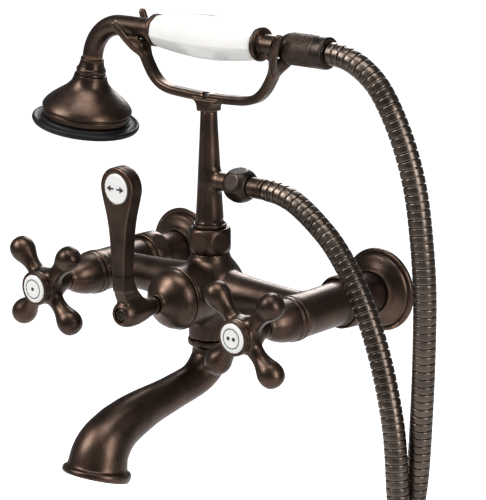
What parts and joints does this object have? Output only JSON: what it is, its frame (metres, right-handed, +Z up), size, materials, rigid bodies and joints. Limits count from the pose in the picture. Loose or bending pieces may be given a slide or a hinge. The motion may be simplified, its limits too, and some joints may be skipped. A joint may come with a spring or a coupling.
{
  "type": "wall mounted bath faucet",
  "caption": "Wall mounted bath mixer with cross handles, a lever diverter, a swivel spout and a telephone handset on a cradle with a metal hose.",
  "frame": {"origin": "on the wall plane, midway between the centres of the two wall flanges", "axes": "+X runs along the wall from the hot side to the cold side, +Y points into the wall, +Z up; the faucet stands out towards -Y"},
  "size_m": [0.3779, 0.2056, 0.6051],
  "materials": {
    "oil_rubbed_bronze": "satin oil rubbed bronze plating over brass, warm brown where the light catches it",
    "bronze_hose": "bronze plated double-lock metal hose, brighter than the castings",
    "white_porcelain": "glazed white porcelain",
    "black_rubber": "matte black rubber",
    "dark_plastic": "matte near-black plastic",
    "plain_brass": "machined, unplated",
    "stainless_screw": "machined"
  },
  "bodies": {
    "fixture": {"ceramic_cartridge_cold": "plain_brass", "ceramic_cartridge_hot": "plain_brass", "coupling_nut_cold": "oil_rubbed_bronze", "coupling_nut_hot": "oil_rubbed_bronze", "cradle": "oil_rubbed_bronze", "cradle_screw": "oil_rubbed_bronze", "diverter_bonnet": "oil_rubbed_bronze", "diverter_cartridge": "plain_brass", "diverter_trim_ring": "oil_rubbed_bronze", "faucet_body": "oil_rubbed_bronze", "hose": "bronze_hose", "hose_ferrule_lower": "oil_rubbed_bronze", "hose_nut_lower": "oil_rubbed_bronze", "hose_washer_lower": "black_rubber", "riser_nut": "oil_rubbed_bronze", "riser_slip_ring": "oil_rubbed_bronze", "riser_tube": "oil_rubbed_bronze", "riser_washer": "black_rubber", "union_washer_cold": "black_rubber", "union_washer_hot": "black_rubber", "valve_bonnet_cold": "oil_rubbed_bronze", "valve_bonnet_hot": "oil_rubbed_bronze", "wall_connector_cold": "oil_rubbed_bronze", "wall_connector_hot": "oil_rubbed_bronze", "wall_flange_cold": "oil_rubbed_bronze", "wall_flange_hot": "oil_rubbed_bronze"},
    "hot_handle": {"valve_spindle_hot": "plain_brass", "cross_handle_hot": "oil_rubbed_bronze", "handle_screw_hot": "stainless_screw", "index_bezel_hot": "oil_rubbed_bronze", "index_button_hot": "white_porcelain"},
    "cold_handle": {"valve_spindle_cold": "plain_brass", "cross_handle_cold": "oil_rubbed_bronze", "handle_screw_cold": "stainless_screw", "index_bezel_cold": "oil_rubbed_bronze", "index_button_cold": "white_porcelain"},
    "diverter": {"diverter_spindle": "plain_brass", "diverter_lever": "oil_rubbed_bronze", "lever_screw": "oil_rubbed_bronze", "lever_index_disc": "white_porcelain"},
    "swivel_spout": {"spout": "oil_rubbed_bronze", "spout_aerator": "dark_plastic"},
    "handset": {"handset_elbow": "oil_rubbed_bronze", "grip_tube": "plain_brass", "grip_collar_front": "oil_rubbed_bronze", "porcelain_grip": "white_porcelain", "grip_collar_rear": "oil_rubbed_bronze", "handset_tail": "oil_rubbed_bronze", "hose_washer_upper": "black_rubber", "hose_nut_upper": "oil_rubbed_bronze", "hose_ferrule_upper": "oil_rubbed_bronze", "head_collar": "oil_rubbed_bronze", "shower_bell": "oil_rubbed_bronze", "spray_rim": "black_rubber", "spray_face": "dark_plastic"}
  },
  "joints": [
    {"name": "hot_turn", "type": "hinge", "parent": "fixture", "child": "hot_handle", "pos_m": [-0.089, -0.14, 0], "axis": [0, -1, 0], "range_deg": [0, 90]},
    {"name": "cold_turn", "type": "hinge", "parent": "fixture", "child": "cold_handle", "pos_m": [0.089, -0.14, 0], "axis": [0, -1, 0], "range_deg": [-90, 0]},
    {"name": "diverter_turn", "type": "hinge", "parent": "fixture", "child": "diverter", "pos_m": [0, -0.13, 0], "axis": [0, -1, 0], "range_deg": [-45, 45]},
    {"name": "spout_swivel", "type": "hinge", "parent": "fixture", "child": "swivel_spout", "pos_m": [0, -0.072, -0.03], "axis": [0, 0, 1], "range_deg": [-45, 45]},
    {"name": "handset_lift", "type": "slide", "parent": "fixture", "child": "handset", "axis": [0, 0, 1], "range_m": [0, 0.03]}
  ]
}
